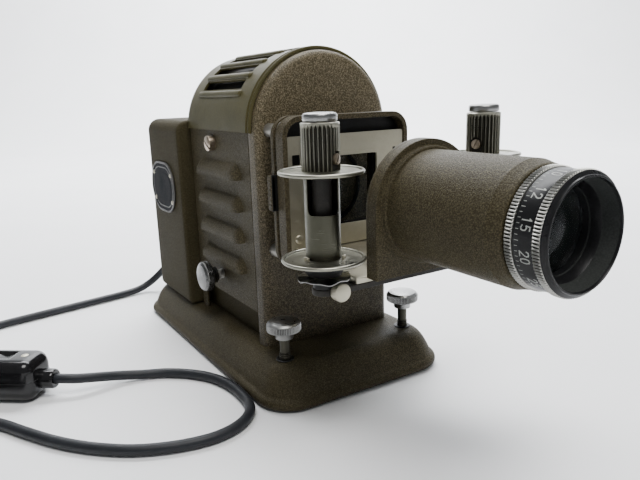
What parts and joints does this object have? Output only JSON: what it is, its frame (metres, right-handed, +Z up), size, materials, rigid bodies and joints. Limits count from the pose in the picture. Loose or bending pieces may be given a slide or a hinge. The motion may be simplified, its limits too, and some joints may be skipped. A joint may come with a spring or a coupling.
{
  "type": "film-strip projector",
  "caption": "Small film-strip projector: cast base, arched vented lamp house, square film stage with two winding spools, screw-focus lens, mains cord with switch and plug.",
  "frame": {"origin": "on the table, under the middle of the cast base", "axes": "the lens looks along -Y, Z is up, and +X is to the right for a viewer who stands in front of the lens and looks back at it along +Y"},
  "size_m": [0.3218, 0.3711, 0.1808],
  "materials": {
    "wrinkle_paint": "dark olive-brown wrinkle enamel",
    "satin_paint": "smooth satin olive enamel",
    "black_metal": "satin black enamel",
    "badge_enamel": "blue-black enamel with a dull metal rim",
    "bare_steel": "brushed",
    "nickel": "nickel plated, slightly aged",
    "bright_chrome": "polished plating",
    "reflector_metal": "polished",
    "brass": "turned",
    "copper_winding": "varnished copper wire",
    "porcelain": "glazed",
    "clear_glass": "clear",
    "rubber": "matte",
    "black_rubber": "matte",
    "cord_rubber": "satin",
    "black_plastic": "polished"
  },
  "bodies": {
    "projector": {"base_shell": "wrinkle_paint", "base_bottom_plate": "bare_steel", "rubber_feet": "rubber", "front_cowl": "wrinkle_paint", "chassis_frame": "satin_paint", "rear_housing": "satin_paint", "badge": "badge_enamel", "badge_rivets": "nickel", "cable_gland": "black_rubber", "transformer_core": "bare_steel", "transformer_coil": "copper_winding", "lamp_socket": "porcelain", "lamp_bulb": "clear_glass", "reflector": "reflector_metal", "condenser_tube": "black_metal", "condenser_lenses": "clear_glass", "stand_offs": "bare_steel", "stage_rear_plate": "wrinkle_paint", "stage_frame": "wrinkle_paint", "gate_plate": "nickel", "stage_screws": "nickel", "stage_floor": "nickel", "lens_mount": "wrinkle_paint", "lens_barrel": "wrinkle_paint", "spool_arms": "black_metal", "spool_spindles": "bright_chrome", "spool_cups": "black_metal", "spool_spring_washers": "nickel", "cord_lead": "cord_rubber", "cord_tail": "cord_rubber", "cord_coil": "cord_rubber", "switch_body": "black_plastic", "plug_body": "black_plastic", "plug_pins": "nickel"},
    "cover": {"lamp_cover": "wrinkle_paint", "vent_cover": "satin_paint", "cover_screws": "nickel"},
    "clamp_pad": {"side_clamp_pad": "brass"},
    "side_knob": {"side_knob": "bright_chrome"},
    "pad_left": {"levelling_pad_left": "rubber"},
    "pad_right": {"levelling_pad_right": "rubber"},
    "screw_left": {"levelling_screw_left": "bright_chrome"},
    "screw_right": {"levelling_screw_right": "bright_chrome"},
    "pressure_plate": {"pressure_plate": "black_metal", "pressure_glass": "clear_glass"},
    "focus_carrier": {"focusing_sleeve": "nickel"},
    "lens": {"lens_tube": "black_metal", "lens_rear_ring": "bright_chrome", "lens_front_ring": "bright_chrome", "lens_hood": "black_metal", "lens_elements": "clear_glass"},
    "spool_left": {"spool_left_core": "nickel", "spool_left_lower_flange": "nickel", "spool_left_upper_flange": "nickel", "spool_left_knob": "nickel"},
    "spool_right": {"spool_right_core": "nickel", "spool_right_lower_flange": "nickel", "spool_right_upper_flange": "nickel", "spool_right_knob": "nickel"},
    "rocker": {"switch_rocker": "black_plastic"}
  },
  "joints": [
    {"name": "cover_lift", "type": "slide", "parent": "projector", "child": "cover", "axis": [0, 0, 1], "range_m": [0, 0.15]},
    {"name": "clamp_pad_travel", "type": "slide", "parent": "cover", "child": "clamp_pad", "axis": [-1, 0, 0], "range_m": [0, 0.002]},
    {"name": "side_knob_turn", "type": "hinge", "parent": "clamp_pad", "child": "side_knob", "pos_m": [-0.05, -0.0117, 0.0512], "axis": [-1, 0, 0], "range_deg": [0, 720]},
    {"name": "pad_left_travel", "type": "slide", "parent": "projector", "child": "pad_left", "axis": [0, 0, 1], "range_m": [-0.008, 0]},
    {"name": "screw_left_turn", "type": "hinge", "parent": "pad_left", "child": "screw_left", "pos_m": [-0.0393, -0.0838, 0.038], "axis": [0, 0, 1], "range_deg": [-2880, 0]},
    {"name": "pad_right_travel", "type": "slide", "parent": "projector", "child": "pad_right", "axis": [0, 0, 1], "range_m": [-0.008, 0]},
    {"name": "screw_right_turn", "type": "hinge", "parent": "pad_right", "child": "screw_right", "pos_m": [0.0393, -0.0838, 0.038], "axis": [0, 0, 1], "range_deg": [-2880, 0]},
    {"name": "pressure_plate_travel", "type": "slide", "parent": "projector", "child": "pressure_plate", "axis": [0, 1, 0], "range_m": [0, 0.001], "stiffness_N_per_m": 150, "springref_m": -0.002},
    {"name": "focus_travel", "type": "slide", "parent": "projector", "child": "focus_carrier", "axis": [0, -1, 0], "range_m": [0, 0.01]},
    {"name": "focus_turn", "type": "hinge", "parent": "focus_carrier", "child": "lens", "pos_m": [0, -0.219, 0.1071], "axis": [0, -1, 0], "range_deg": [0, 300]},
    {"name": "spool_left_turn", "type": "hinge", "parent": "projector", "child": "spool_left", "pos_m": [-0.0463, -0.1359, 0.106], "axis": [0, 0, 1], "continuous": true},
    {"name": "spool_right_turn", "type": "hinge", "parent": "projector", "child": "spool_right", "pos_m": [0.0463, -0.1359, 0.106], "axis": [0, 0, 1], "continuous": true},
    {"name": "rocker_tilt", "type": "hinge", "parent": "projector", "child": "rocker", "pos_m": [-0.1655, 0.0083, 0.0166], "axis": [0.6129, 0.7902, 0], "range_deg": [-16, 0]}
  ],
  "couplings": [
    {"joint": "side_knob_turn", "follows": "clamp_pad_travel", "rad_per_m": 6283},
    {"joint": "screw_left_turn", "follows": "pad_left_travel", "rad_per_m": 6283},
    {"joint": "screw_right_turn", "follows": "pad_right_travel", "rad_per_m": 6283},
    {"joint": "focus_turn", "follows": "focus_travel", "rad_per_m": 523.5}
  ]
}
